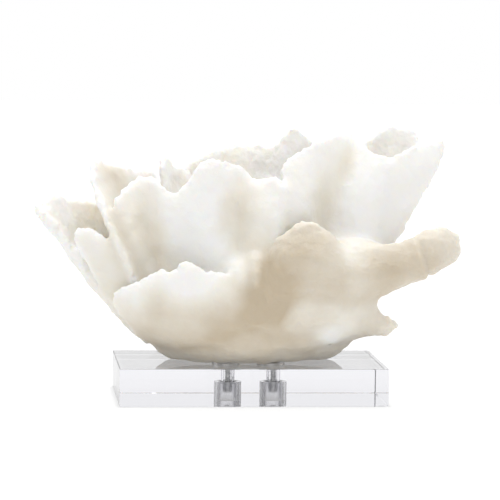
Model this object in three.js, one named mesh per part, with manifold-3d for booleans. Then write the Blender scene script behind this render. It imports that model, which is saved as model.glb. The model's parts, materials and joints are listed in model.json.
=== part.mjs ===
// A white ruffled coral on a clear acrylic block, held from below by two screws.
// Millimetres, +Z up. The origin is the centre of the block's underside.
import * as THREE from "three";
import { mergeVertices } from "three/addons/utils/BufferGeometryUtils.js";
import Module from "manifold-3d";

// Block
const BLOCK_WIDTH = 178;
const BLOCK_DEPTH = 90;
const BLOCK_HEIGHT = 25;
const BLOCK_EASE = 1.4;

// Screws and their stepped holes
const SCREW_SPACING = 30.5;
const HOLE_DIAMETER = 9.5;
const COUNTERBORE_DIAMETER = 18.5;
const COUNTERBORE_DEPTH = 12.7;
const SHANK_DIAMETER = 6;
const SHANK_LENGTH = 31;
const HEAD_DIAMETER = 10;
const HEAD_HEIGHT = 6;
const SOCKET_ACROSS = 5;
const SOCKET_DEPTH = 3.2;
const WASHER_DIAMETER = 12.5;
const WASHER_THICKNESS = 1.6;
const CLEARANCE = 0.3;

// Coral foot: half-width left to right, half-depth, and rings from the block up, each with its
// share of the half-width, its height above the block, its share of the half-depth, and how far
// its centre lies behind the foot's
const FOOT_HALF_WIDTH = 66;
const FOOT_HALF_DEPTH = 33;
const FOOT_CENTRE_Y = -2;
const FOOT_SIDES = 26;
const FOOT_RINGS = [
  [0, 0, 0, 6],
  [0.68, 0, 0.5, 6],
  [0.84, 1.5, 0.7, 3],
  [0.94, 5, 0.98, 0],
  [1.02, 12, 1.22, 0],
  [1.1, 22, 1.42, 0],
  [1.09, 31, 1.5, 0],
  [0.98, 35, 1.4, 0],
  [0.72, 32, 1.05, 0],
  [0.4, 28, 0.6, 0],
  [0, 26, 0, 0],
];

// Fronds: rows of facets from root to rim, and the share of the half thickness kept at an edge,
// which is also how far the middle of the edge stands past it
const FROND_ROWS = 4;
const EDGE_ROUNDING = 0.6;

// Gap where one coral piece is cut by its neighbour
const GAP = 0.4;

const wasm = await Module();
wasm.setup();
const { Manifold } = wasm;

// A three.js geometry as a solid.
function solidFrom(geometry) {
  const bare = geometry.clone();
  bare.deleteAttribute("normal");
  bare.deleteAttribute("uv");
  const merged = mergeVertices(bare, 1e-3);
  return new Manifold(
    new wasm.Mesh({
      numProp: 3,
      vertProperties: new Float32Array(merged.attributes.position.array),
      triVerts: new Uint32Array(merged.index.array),
    }),
  );
}

// A solid as a named three.js mesh with its own material.
function meshFrom(solid, name, finish) {
  const { numProp, vertProperties, triVerts } = solid.getMesh();
  const positions = [];
  for (let i = 0; i < vertProperties.length; i += numProp) {
    positions.push(...vertProperties.subarray(i, i + 3));
  }
  const geometry = new THREE.BufferGeometry();
  geometry.setAttribute("position", new THREE.Float32BufferAttribute(positions, 3));
  geometry.setIndex(new THREE.BufferAttribute(new Uint32Array(triVerts), 1));
  const mesh = new THREE.Mesh(geometry, new THREE.MeshStandardMaterial(finish));
  mesh.name = name;
  return mesh;
}

// An upright cylinder from its lower face's height.
function cylinder(x, y, bottom, diameter, height, sides) {
  const geometry = new THREE.CylinderGeometry(diameter / 2, diameter / 2, height, sides);
  geometry.rotateX(Math.PI / 2);
  geometry.translate(x, y, bottom + height / 2);
  return solidFrom(geometry);
}

function makeBlock() {
  const w = BLOCK_WIDTH / 2 - BLOCK_EASE;
  const d = BLOCK_DEPTH / 2 - BLOCK_EASE;
  const outline = new THREE.Shape();
  outline.moveTo(-w, -d);
  outline.lineTo(w, -d);
  outline.lineTo(w, d);
  outline.lineTo(-w, d);
  outline.closePath();
  const geometry = new THREE.ExtrudeGeometry(outline, {
    depth: BLOCK_HEIGHT - 2 * BLOCK_EASE,
    bevelThickness: BLOCK_EASE,
    bevelSize: BLOCK_EASE,
    bevelSegments: 2,
  });
  geometry.translate(0, 0, BLOCK_EASE);
  let block = solidFrom(geometry);
  for (const side of [-1, 1]) {
    const x = (side * SCREW_SPACING) / 2;
    block = block
      .subtract(cylinder(x, 0, -1, COUNTERBORE_DIAMETER, COUNTERBORE_DEPTH + 1, 24))
      .subtract(cylinder(x, 0, 1, HOLE_DIAMETER, BLOCK_HEIGHT, 20));
  }
  return block;
}

function makeWasher(x) {
  const bottom = COUNTERBORE_DEPTH - WASHER_THICKNESS;
  const hole = SHANK_DIAMETER + 2 * CLEARANCE;
  return cylinder(x, 0, bottom, WASHER_DIAMETER, WASHER_THICKNESS, 18).subtract(
    cylinder(x, 0, bottom - 1, hole, WASHER_THICKNESS + 2, 16),
  );
}

function makeScrew(x) {
  const headTop = COUNTERBORE_DEPTH - WASHER_THICKNESS;
  const headBottom = headTop - HEAD_HEIGHT;
  const profile = [
    [0, headBottom],
    [HEAD_DIAMETER / 2 - 0.6, headBottom],
    [HEAD_DIAMETER / 2, headBottom + 0.6],
    [HEAD_DIAMETER / 2, headTop],
    [SHANK_DIAMETER / 2, headTop],
    [SHANK_DIAMETER / 2, headTop + SHANK_LENGTH - 1],
    [SHANK_DIAMETER / 2 - 1, headTop + SHANK_LENGTH],
    [0, headTop + SHANK_LENGTH],
  ].map(([r, z]) => new THREE.Vector2(r, z));
  const turned = new THREE.LatheGeometry(profile, 16);
  turned.rotateX(Math.PI / 2);
  turned.translate(x, 0, 0);
  const socketAcrossCorners = SOCKET_ACROSS / Math.cos(Math.PI / 6);
  const socket = cylinder(x, 0, headBottom - 1, socketAcrossCorners, SOCKET_DEPTH + 1, 6);
  return solidFrom(turned).subtract(socket);
}

// The foot is a stack of oval rings that opens like a dish, with a slow lobed outline.
function makeFoot(grow) {
  const profile = FOOT_RINGS.map(([, z], ring) => new THREE.Vector2(ring, z));
  const geometry = new THREE.LatheGeometry(profile, FOOT_SIDES);
  geometry.rotateX(Math.PI / 2);
  const place = geometry.attributes.position;
  const point = new THREE.Vector3();
  for (let i = 0; i < place.count; i += 1) {
    point.fromBufferAttribute(place, i);
    const ring = Math.round(Math.hypot(point.x, point.y));
    const [width, height, depth, back] = FOOT_RINGS[ring];
    const angle = Math.atan2(point.y, point.x);
    const rise = Math.min(1, height / 12);
    const lobes = 1 + rise * (0.05 * Math.sin(3 * angle + 1) + 0.03 * Math.sin(7 * angle));
    const out = width > 0 ? grow : 0;
    const lift = width < 0.99 && height > 20 ? grow : 0;
    point.set(
      Math.cos(angle) * (width * lobes * FOOT_HALF_WIDTH + out),
      Math.sin(angle) * (depth * lobes * FOOT_HALF_DEPTH + out) + FOOT_CENTRE_Y + back,
      BLOCK_HEIGHT + height + lift,
    );
    place.setXYZ(i, point.x, point.y, point.z);
  }
  return solidFrom(geometry);
}

// A frond is a curved plate. It starts on the root line, swells through the belly line,
// and ends on the rim. Its thickness runs from root to rim, and its edges are rounded.
function makeFrond({ rim, belly, root, thick }, grow) {
  const line = (points) => new THREE.CatmullRomCurve3(points.map((p) => new THREE.Vector3(...p)));
  const rimLine = line(rim);
  const bellyLine = line(belly);
  const rootLine = line(root);
  const columns = (rim.length - 1) * 2;

  function surface(u, v) {
    const start = rootLine.getPoint(u);
    const end = rimLine.getPoint(u);
    const pull = bellyLine.getPoint(u).multiplyScalar(2);
    pull.addScaledVector(start, -0.5).addScaledVector(end, -0.5);
    const made = start.multiplyScalar((1 - v) ** 2);
    made.addScaledVector(pull, 2 * v * (1 - v)).addScaledVector(end, v * v);
    return made;
  }

  function frame(u, v) {
    const step = 0.01;
    const along = surface(Math.min(1, u + step), v).sub(surface(Math.max(0, u - step), v));
    const up = surface(u, Math.min(1, v + step)).sub(surface(u, Math.max(0, v - step)));
    along.normalize();
    up.normalize();
    return { along, up, out: along.clone().cross(up).normalize() };
  }

  const geometry = new THREE.BoxGeometry(1, 1, 1, columns, FROND_ROWS, 2);
  const place = geometry.attributes.position;
  for (let i = 0; i < place.count; i += 1) {
    const u = place.getX(i) + 0.5;
    const v = place.getY(i) + 0.5;
    const side = place.getZ(i) * 2;
    const { along, up, out } = frame(u, v);
    const acrossEdge = Math.abs(u - 0.5) > 0.499 ? Math.sign(u - 0.5) : 0;
    const upEdge = Math.abs(v - 0.5) > 0.499 ? Math.sign(v - 0.5) : 0;
    const half = THREE.MathUtils.lerp(thick[0], thick[1], v) / 2;
    const rounding = acrossEdge || upEdge ? EDGE_ROUNDING : 1;
    const past = (side === 0 ? half * EDGE_ROUNDING : 0) + grow;
    const point = surface(u, v).addScaledVector(out, side * (half * rounding + grow));
    point.addScaledVector(along, acrossEdge * past).addScaledVector(up, upEdge * past);
    place.setXYZ(i, point.x, point.y, point.z);
  }
  return solidFrom(geometry);
}

// Fronds, in the order they are cut: each keeps clear of the foot and of those before it.
const FRONDS = [
  {
    name: "centre_frond",
    colour: 0xf3efe4,
    thick: [12, 5],
    rim: [
      [-92, -20, 126],
      [-90, -22, 135],
      [-80, -14, 146],
      [-67, -16, 148],
      [-60, -26, 141],
      [-52, -32, 139],
      [-44, -38, 147],
      [-36, -40, 159],
      [-20, -34, 160],
      [-7, -26, 153],
      [0, -26, 147],
      [10, -34, 149],
      [18, -38, 146],
      [22, -37, 136],
    ],
    belly: [
      [-80, -27, 98],
      [-66, -18, 104],
      [-48, -31, 107],
      [-32, -40, 110],
      [-12, -29, 110],
      [3, -36, 108],
      [17, -39, 104],
    ],
    root: [
      [-60, -14, 52],
      [-34, -20, 48],
      [-6, -22, 48],
      [14, -20, 50],
    ],
  },
  {
    name: "right_frond",
    colour: 0xf1ece0,
    thick: [12, 5],
    rim: [
      [22, -34, 133],
      [19, -32, 146],
      [17, -30, 156],
      [25, -28, 164],
      [35, -24, 169],
      [45, -20, 175],
      [59, -14, 178],
      [68, -6, 178],
      [73, -12, 174],
      [79, -20, 164],
      [91, -20, 163],
      [103, -14, 168],
      [117, -6, 172],
      [131, 1, 173],
      [126, -3, 157],
      [115, -8, 139],
      [100, -14, 116],
    ],
    belly: [
      [21, -36, 108],
      [32, -34, 116],
      [46, -19, 120],
      [58, -24, 120],
      [71, -28, 116],
      [80, -25, 110],
      [88, -20, 98],
    ],
    root: [
      [14, -16, 52],
      [34, -14, 50],
      [56, -8, 54],
      [68, -4, 60],
    ],
  },
  {
    name: "thumb_frond",
    colour: 0xe4dac8,
    thick: [14, 8],
    rim: [
      [8, -42, 93],
      [12, -48, 106],
      [18, -51, 116],
      [30, -52, 121],
      [40, -52, 119],
      [52, -50, 109],
      [62, -50, 102],
      [69, -49, 105],
      [77, -48, 108],
      [94, -46, 107],
      [104, -44, 111],
      [114, -42, 115],
      [124, -38, 116],
      [133, -32, 110],
    ],
    belly: [
      [6, -52, 76],
      [26, -60, 86],
      [52, -61, 86],
      [80, -57, 88],
      [104, -52, 96],
      [120, -46, 102],
      [133, -38, 104],
    ],
    root: [
      [6, -34, 50],
      [30, -34, 52],
      [60, -33, 64],
      [90, -34, 79],
      [107, -36, 86],
      [122, -34, 94],
      [132, -30, 100],
    ],
  },
  {
    name: "front_shelf",
    colour: 0xeee8da,
    thick: [12, 5],
    rim: [
      [-93, -36, 72],
      [-84, -44, 79],
      [-74, -50, 85],
      [-64, -55, 90],
      [-55, -58, 89],
      [-47, -61, 97],
      [-38, -60, 91],
      [-26, -55, 89],
      [-13, -49, 87],
      [2, -46, 81],
      [16, -44, 72],
      [34, -42, 62],
    ],
    belly: [
      [-83, -34, 56],
      [-68, -46, 58],
      [-50, -53, 59],
      [-27, -53, 59],
      [-4, -51, 57],
      [16, -48, 53],
      [34, -44, 50],
    ],
    root: [
      [-62, -12, 38],
      [-44, -20, 35],
      [-20, -24, 34],
      [2, -26, 34],
      [24, -25, 34],
      [44, -22, 35],
    ],
  },
  {
    name: "spur_frond",
    colour: 0xe2d7c4,
    thick: [11, 5],
    rim: [
      [16, -52, 58],
      [22, -58, 66],
      [33, -60, 73],
      [47, -57, 81],
      [62, -50, 85],
      [74, -44, 84],
      [84, -37, 79],
      [81, -34, 70],
      [83, -32, 62],
      [90, -29, 57],
      [97, -26, 51],
    ],
    belly: [
      [18, -46, 50],
      [38, -50, 56],
      [56, -46, 58],
      [72, -38, 57],
      [82, -33, 54],
      [91, -28, 50],
    ],
    root: [
      [24, -20, 36],
      [44, -18, 38],
      [62, -18, 43],
      [78, -22, 47],
      [89, -25, 49],
    ],
  },
  {
    name: "left_frond",
    colour: 0xf3eee2,
    thick: [11, 7],
    rim: [
      [-80, -34, 84],
      [-87, -33, 98],
      [-95, -30, 115],
      [-102, -21, 133],
      [-107, -8, 148],
      [-104, 4, 159],
      [-97, 13, 155],
      [-88, 22, 152],
      [-78, 30, 149],
      [-68, 33, 149],
      [-60, 31, 146],
    ],
    belly: [
      [-74, -24, 72],
      [-82, -18, 92],
      [-86, 0, 104],
      [-80, 16, 102],
      [-60, 28, 100],
    ],
    root: [
      [-62, -12, 54],
      [-66, 0, 52],
      [-60, 14, 52],
      [-46, 20, 54],
    ],
  },
  {
    name: "far_left_frond",
    colour: 0xefe9dc,
    thick: [11, 7],
    rim: [
      [-86, -13, 57],
      [-98, -11, 74],
      [-113, -9, 91],
      [-126, -7, 108],
      [-144, -6, 129],
      [-137, 1, 124],
      [-132, 9, 136],
      [-124, 17, 129],
      [-112, 24, 128],
      [-101, 26, 129],
      [-92, 28, 126],
    ],
    belly: [
      [-79, -10, 50],
      [-92, -2, 66],
      [-103, 6, 80],
      [-104, 16, 92],
      [-80, 26, 88],
    ],
    root: [
      [-66, -8, 40],
      [-69, 0, 40],
      [-68, 8, 42],
      [-52, 18, 46],
    ],
  },
  {
    name: "far_left_inner_lobe",
    colour: 0xe9e1d1,
    thick: [10, 5],
    rim: [
      [-116, -22, 108],
      [-118, -23, 113],
      [-111, -26, 115],
      [-104, -28, 113],
      [-97, -29, 107],
      [-90, -29, 98],
      [-82, -28, 86],
    ],
    belly: [
      [-103, -20, 84],
      [-98, -24, 86],
      [-88, -24, 78],
      [-80, -24, 70],
    ],
    root: [
      [-82, -12, 54],
      [-76, -14, 48],
      [-70, -15, 44],
      [-62, -15, 42],
    ],
  },
  {
    name: "back_spike",
    colour: 0xf0ebdf,
    thick: [9, 6],
    rim: [
      [-50, 6, 118],
      [-56, 3, 136],
      [-60, 4, 151],
      [-59, 9, 159],
      [-52, 18, 152],
      [-45, 27, 151],
      [-38, 34, 149],
    ],
    belly: [
      [-46, 8, 86],
      [-48, 10, 104],
      [-42, 20, 104],
      [-36, 30, 104],
    ],
    root: [
      [-40, 2, 52],
      [-40, 10, 52],
      [-34, 18, 52],
    ],
  },
  {
    name: "back_frond",
    colour: 0xece5d7,
    thick: [12, 6],
    rim: [
      [-58, 36, 145],
      [-46, 45, 149],
      [-37, 49, 152],
      [-28, 45, 157],
      [-18, 50, 164],
      [-4, 56, 165],
      [11, 51, 165],
      [19, 45, 165],
      [25, 40, 170],
      [31, 35, 178],
      [37, 35, 177],
      [44, 40, 169],
      [52, 45, 167],
      [62, 46, 162],
    ],
    belly: [
      [-52, 32, 100],
      [-34, 47, 102],
      [-16, 38, 104],
      [5, 50, 106],
      [24, 34, 108],
      [42, 45, 106],
      [55, 40, 104],
    ],
    root: [
      [-40, 20, 54],
      [-14, 24, 52],
      [14, 24, 52],
      [40, 20, 54],
    ],
  },
  {
    name: "back_right_frond",
    colour: 0xeae3d5,
    thick: [12, 7],
    rim: [
      [64, 47, 161],
      [76, 47, 164],
      [84, 44, 168],
      [92, 40, 176],
      [98, 37, 181],
      [106, 36, 180],
      [114, 35, 178],
      [119, 30, 170],
      [117, 20, 151],
    ],
    belly: [
      [58, 38, 104],
      [76, 40, 112],
      [92, 32, 116],
      [98, 20, 110],
    ],
    root: [
      [42, 18, 56],
      [58, 14, 60],
      [66, 4, 62],
    ],
  },
];

const CLEAR = { color: 0xf1f1f7, roughness: 0.05, metalness: 0, transparent: true, opacity: 0.35 };
const STEEL = { color: 0xa9abad, roughness: 0.35, metalness: 1 };
const WASHER_STEEL = { color: 0xc3c5c7, roughness: 0.4, metalness: 1 };

const figure = new THREE.Group();
figure.name = "coral_on_block";
figure.add(meshFrom(makeBlock(), "acrylic_block", CLEAR));
for (const [label, side] of [
  ["left", -1],
  ["right", 1],
]) {
  const x = (side * SCREW_SPACING) / 2;
  figure.add(meshFrom(makeScrew(x), "screw_" + label, STEEL));
  figure.add(meshFrom(makeWasher(x), "washer_" + label, WASHER_STEEL));
}

// The foot is drilled from below for the two screws.
let foot = makeFoot(0);
const pilot = SHANK_DIAMETER + 2 * CLEARANCE;
const pilotTop = COUNTERBORE_DEPTH - WASHER_THICKNESS + SHANK_LENGTH + 1;
for (const side of [-1, 1]) {
  const x = (side * SCREW_SPACING) / 2;
  foot = foot.subtract(cylinder(x, 0, 20, pilot, pilotTop - 20, 16));
}
figure.add(meshFrom(foot, "coral_foot", { color: 0xded2bd, roughness: 0.7, metalness: 0 }));

// Each frond keeps the largest body that its neighbours leave of it.
const cutters = [makeFoot(GAP)];
for (const frond of FRONDS) {
  const whole = makeFrond(frond, 0);
  let solid = whole;
  for (const cutter of cutters) {
    solid = solid.subtract(cutter);
  }
  const bodies = solid.decompose();
  bodies.sort((a, b) => b.volume() - a.volume());
  figure.add(meshFrom(bodies[0], frond.name, { color: frond.colour, roughness: 0.7, metalness: 0 }));
  cutters.push(makeFrond(frond, GAP).add(whole));
}

export default figure;
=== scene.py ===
# %% [markdown]
# # A ruffled coral on a clear block
#
# This lesson dresses a finished construction model. The solids come in fixed: a clear acrylic
# block, two cap screws with washers, and a coral made of eleven faceted fronds on a foot.
# Blender gives them what the solids leave out: one grown skin over all the fronds, polished and
# drilled acrylic, screw threads, and light that soaks into the coral.

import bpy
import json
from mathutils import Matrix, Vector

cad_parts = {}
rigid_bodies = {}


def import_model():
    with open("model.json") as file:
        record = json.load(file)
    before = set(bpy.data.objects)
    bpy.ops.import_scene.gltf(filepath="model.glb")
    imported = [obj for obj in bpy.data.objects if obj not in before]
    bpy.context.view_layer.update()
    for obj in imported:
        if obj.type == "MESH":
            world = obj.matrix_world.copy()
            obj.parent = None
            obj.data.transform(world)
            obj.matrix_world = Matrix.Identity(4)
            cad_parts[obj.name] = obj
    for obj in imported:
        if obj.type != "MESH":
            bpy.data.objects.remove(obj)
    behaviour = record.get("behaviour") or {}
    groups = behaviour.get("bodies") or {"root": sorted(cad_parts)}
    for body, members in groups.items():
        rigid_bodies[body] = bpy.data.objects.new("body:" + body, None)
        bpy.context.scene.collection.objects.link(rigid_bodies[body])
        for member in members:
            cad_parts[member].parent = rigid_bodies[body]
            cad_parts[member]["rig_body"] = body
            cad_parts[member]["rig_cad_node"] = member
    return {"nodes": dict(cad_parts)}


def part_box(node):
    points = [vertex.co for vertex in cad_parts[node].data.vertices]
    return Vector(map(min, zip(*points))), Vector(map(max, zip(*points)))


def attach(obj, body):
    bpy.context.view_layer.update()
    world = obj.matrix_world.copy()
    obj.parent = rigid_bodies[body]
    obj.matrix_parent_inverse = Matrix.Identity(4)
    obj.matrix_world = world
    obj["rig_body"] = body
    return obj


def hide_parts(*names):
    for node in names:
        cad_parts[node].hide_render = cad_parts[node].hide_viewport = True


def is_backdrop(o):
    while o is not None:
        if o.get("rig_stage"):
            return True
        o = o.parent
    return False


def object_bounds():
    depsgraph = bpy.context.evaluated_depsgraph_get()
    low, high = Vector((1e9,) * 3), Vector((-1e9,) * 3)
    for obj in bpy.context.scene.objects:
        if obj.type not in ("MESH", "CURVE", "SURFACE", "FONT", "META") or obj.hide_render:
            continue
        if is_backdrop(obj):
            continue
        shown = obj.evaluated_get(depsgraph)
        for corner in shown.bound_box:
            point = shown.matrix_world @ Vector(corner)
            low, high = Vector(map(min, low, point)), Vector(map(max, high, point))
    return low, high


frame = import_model()
cad_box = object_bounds()
print("nodes:", len(frame["nodes"]), "box:", [round(v, 4) for v in (*cad_box[0], *cad_box[1])])

# %% [markdown]
# ## Small helpers
#
# Blender's operators act on whatever is selected, and a freshly loaded frame is selected all
# over. So every step here first says what it works on. A modifier could stay live on a piece, but
# an applied one leaves plain vertices, which the next step can select by their place.

# %% Selecting, applying and measuring
import json
import math

import bmesh
import bpy
import numpy as np
from mathutils import Quaternion, Vector
from mathutils.kdtree import KDTree

MM = 0.001
SLACK = 0.01 * MM


def only(*objects):
    """Selects these objects and nothing else, and makes the last one active."""
    if bpy.context.mode != "OBJECT":
        bpy.ops.object.mode_set(mode="OBJECT")
    bpy.ops.object.select_all(action="DESELECT")
    for each in objects:
        each.select_set(True)
    bpy.context.view_layer.objects.active = objects[-1]
    return objects[-1]


def apply_modifier(piece, kind, **settings):
    """Adds a modifier, sets it, and applies it, as the Apply button does."""
    only(piece)
    modifier = piece.modifiers.new(kind.title(), kind)
    for name, value in settings.items():
        setattr(modifier, name, value)
    bpy.ops.object.modifier_apply(modifier=modifier.name)


def merge_doubles(piece, distance):
    """Joins vertices that lie closer together than this distance."""
    only(piece)
    bpy.ops.object.mode_set(mode="EDIT")
    bpy.ops.mesh.select_all(action="SELECT")
    bpy.ops.mesh.remove_doubles(threshold=distance)
    bpy.ops.object.mode_set(mode="OBJECT")


def measure(piece):
    """Prints a piece's triangles, open edges and volume: a sound solid has no open edge."""
    mesh = bmesh.new()
    mesh.from_mesh(piece.data)
    open_edges = sum(not edge.is_manifold for edge in mesh.edges)
    count = sum(len(face.verts) - 2 for face in mesh.faces)
    volume = mesh.calc_volume(signed=True) * 1e6
    mesh.free()
    print(f"{piece.name}: {count} triangles, {open_edges} open edges, {volume:.2f} cm3")


print(f"points closer than {SLACK / MM} mm count as one")

# %% [markdown]
# ## The coral's skin
#
# A real coral has no seams: its fronds grew out of one foot. The solids are cut apart at the
# forks and are faceted, so they can't be shown as they are. Sculpting it all again by hand would
# lose the construction's measured lines. Instead each solid is copied and rounded by subdivision
# surfaces, the copies are joined and swelled a little so that the hairline gaps close, and a
# voxel remesh lays one even skin over the lot.

# %% Copy and round each coral solid
FLAT_ENOUGH = math.radians(50)
ROUNDING_LEVELS = 2

stand_nodes = {"acrylic_block", "screw_left", "screw_right", "washer_left", "washer_right"}
coral_nodes = sorted(set(frame["nodes"]) - stand_nodes)


def rounded_copy(name):
    """A copy of a faceted solid with its triangles paired into quads and then subdivided."""
    only(frame["nodes"][name])
    bpy.ops.object.duplicate()
    bpy.ops.object.parent_clear(type="CLEAR_KEEP_TRANSFORM")
    made = bpy.context.object
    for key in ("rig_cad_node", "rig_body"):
        del made[key]
    merge_doubles(made, SLACK)
    bpy.ops.object.mode_set(mode="EDIT")
    bpy.ops.mesh.tris_convert_to_quads(face_threshold=FLAT_ENOUGH, shape_threshold=FLAT_ENOUGH)
    bpy.ops.object.mode_set(mode="OBJECT")
    apply_modifier(made, "SUBSURF", levels=ROUNDING_LEVELS, render_levels=ROUNDING_LEVELS)
    return made


copies = {name: rounded_copy(name) for name in coral_nodes}
print("coral solids:", len(copies))

# %% [markdown]
# Later steps need to know which frond a point of the skin belongs to, because the fronds differ
# in colour and roughness and the remesh forgets where its surface came from. A search tree over
# the rounded copies remembers it: each of its points carries the number of its frond.

# %% Remember which frond each point came from
frond_points = []
frond_numbers = []
for number, name in enumerate(coral_nodes):
    for vertex in copies[name].data.vertices:
        frond_points.append(vertex.co.copy())
        frond_numbers.append(number)
frond_tree = KDTree(len(frond_points))
for index, point in enumerate(frond_points):
    frond_tree.insert(point, index)
frond_tree.balance()
print("points remembered:", len(frond_points))

# %% [markdown]
# Where two fronds stand close, lime has grown across the narrow angle between them like a web.
# The faceted solids leave these angles open. A web could be pulled out of the skin by hand, but
# an ellipsoid set into the angle does the same, because the remesh joins whatever overlaps. The
# table gives each one's centre and radii in millimetres.

# %% Fill the narrow angles between fronds
WEB_SEGMENTS = 32
WEB_RINGS = 16
WEBS = [
    ((-24, -35, 77), (12, 16, 10)),
    ((-11, -34, 82), (13, 21, 17)),
    ((0, -33, 84), (12, 23, 20)),
    ((9, -36, 77), (11, 22, 19)),
    ((64, -38, 98), (24, 17, 13)),
]


def add_web(centre, radii):
    """Adds an ellipsoid whose centre and radii are given in millimetres."""
    bpy.ops.object.select_all(action="DESELECT")
    bpy.ops.mesh.primitive_uv_sphere_add(
        segments=WEB_SEGMENTS,
        ring_count=WEB_RINGS,
        location=Vector(centre) * MM,
    )
    web = bpy.context.object
    web.scale = Vector(radii) * MM
    bpy.ops.object.transform_apply(location=True, rotation=True, scale=True)
    return web


webs = [add_web(centre, radii) for centre, radii in WEBS]
print("webs of lime:", len(webs))

# %% [markdown]
# Copies and webs become one object, and a displacement along the normals swells it until the
# gaps close. A Boolean union would keep every crease where two pieces cross. The voxel remesh
# draws one new surface round them all instead, and a few passes of smoothing take off its steps.

# %% Join, swell and remesh
SWELL = 0.8 * MM
VOXEL = 1.25 * MM
STEP_PASSES = 14
JOIN_SLACK = 0.001 * MM
SMOOTH_PULL = 0.5


def smooth(piece, passes, group=""):
    """Relaxes a mesh in so many passes, all over or within one vertex group."""
    settings = {"factor": SMOOTH_PULL, "iterations": passes, "vertex_group": group}
    apply_modifier(piece, "SMOOTH", **settings)


only(*copies.values(), *webs)
bpy.ops.object.join()
coral = bpy.context.object
coral.name = "coral_skin"
coral.data.materials.clear()
merge_doubles(coral, JOIN_SLACK)
apply_modifier(coral, "DISPLACE", strength=SWELL, mid_level=0.0)
apply_modifier(coral, "REMESH", mode="VOXEL", voxel_size=VOXEL)
smooth(coral, STEP_PASSES)
measure(coral)

# %% [markdown]
# Where two copies nearly touch inside the coral, the remesh leaves small closed bubbles. Nobody
# sees them, but a sound solid has none, so the mesh is split into its loose parts and only the
# largest, the outer skin, is kept.

# %% Keep the outer skin


def keep_largest_part(piece):
    """Splits a mesh into loose parts and deletes all but the one with the most points."""
    only(piece)
    bpy.ops.object.mode_set(mode="EDIT")
    bpy.ops.mesh.select_all(action="SELECT")
    bpy.ops.mesh.separate(type="LOOSE")
    bpy.ops.object.mode_set(mode="OBJECT")
    parts = sorted(bpy.context.selected_objects, key=lambda part: len(part.data.vertices))
    kept = parts.pop()
    name = piece.name
    print(f"{name}: {len(parts)} loose parts dropped")
    for part in parts:
        bpy.data.meshes.remove(part.data)
    kept.name = name
    return only(kept)


coral = keep_largest_part(coral)
coral.name = "coral_skin"

# %% [markdown]
# ## Rims and folds
#
# Rims and folds differ: rims are thin and nicked. In the colour, rims are painted paler, as
# painted light where light comes through them, and folds darker, as painted shade. Painting
# weights by hand would do, but the shape already says where they are. A strongly smoothed copy
# pulls away from every rim and fills every fold, so the distance between the two surfaces, along
# the normal, measures both.

# %% Measure how far each point stands out
RIM_HEIGHT = 1.1 * MM
RIM_PASSES = 60
FOLD_DEPTH = 1.2 * MM
FOLD_PASSES = 200


def positions(mesh):
    """Every vertex's place, as rows of three numbers."""
    found = np.empty(len(mesh.vertices) * 3)
    mesh.vertices.foreach_get("co", found)
    return found.reshape(-1, 3)


def normals(mesh):
    """Every vertex's normal, as rows of three numbers."""
    found = np.empty(len(mesh.vertices) * 3)
    mesh.vertex_normals.foreach_get("vector", found)
    return found.reshape(-1, 3)


def standing_out(piece, passes):
    """How far each point stands out of a smoothed copy: above 0 on a rim, below it in a fold."""
    only(piece)
    bpy.ops.object.duplicate()
    smoothed = bpy.context.object
    smooth(smoothed, passes)
    apart = positions(piece.data) - positions(smoothed.data)
    bpy.data.meshes.remove(smoothed.data)
    return (apart * normals(piece.data)).sum(axis=1)


rim = np.clip(standing_out(coral, RIM_PASSES) / RIM_HEIGHT, 0, 1)
fold = np.clip(-standing_out(coral, FOLD_PASSES) / FOLD_DEPTH, 0, 1)
print(f"rim points: {np.mean(rim > 0.5):.1%}, fold points: {np.mean(fold > 0.5):.1%}")

# %% [markdown]
# Values measured point by point are speckled. Blender's weight tools could smooth them as vertex
# groups, but these values also go to the material. So they are evened out here as plain numbers:
# again and again, every point moves half way to the mean of the points that it shares an edge
# with.

# %% Soften the measured values
RIM_SOFTENING = 6
FOLD_SOFTENING = 12

edge_ends = np.empty(len(coral.data.edges) * 2, dtype=int)
coral.data.edges.foreach_get("vertices", edge_ends)
edge_ends = edge_ends.reshape(-1, 2)


def soften(values, passes):
    """Evens values out over the mesh, each point moving half way to its neighbours' mean."""
    first, second = edge_ends.T
    count = len(values)
    neighbours = np.bincount(first, minlength=count) + np.bincount(second, minlength=count)
    for _ in range(passes):
        total = np.bincount(first, values[second], count)
        total += np.bincount(second, values[first], count)
        values = (values + total / np.maximum(neighbours, 1)) / 2
    return values


rim = soften(rim, RIM_SOFTENING)
fold = soften(fold, FOLD_SOFTENING)
print(f"mean rim {rim.mean():.3f}, mean fold {fold.mean():.3f}")

# %% [markdown]
# On a real coral one frond flows into the next where they meet. Smoothing the whole skin hard
# enough for that would also round the rims away. A modifier can be held back by a vertex group,
# so the fold values are turned into one, and the smoothing stays in the angles. A group is
# filled in a few dozen steps of weight, which is quicker than point by point.

# %% Let the fronds flow together
WEIGHT_STEPS = 40
FLOW_PASSES = 200


def weight(piece, name, values):
    """Makes a vertex group, which a modifier can read, out of one value per point."""
    group = piece.vertex_groups.new(name=name)
    steps = np.round(np.clip(values, 0, 1) * WEIGHT_STEPS).astype(int)
    for step in np.unique(steps):
        members = np.flatnonzero(steps == step).tolist()
        group.add(members, float(step) / WEIGHT_STEPS, "REPLACE")


weight(coral, "angles", fold)
smooth(coral, FLOW_PASSES, "angles")
measure(coral)
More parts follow.
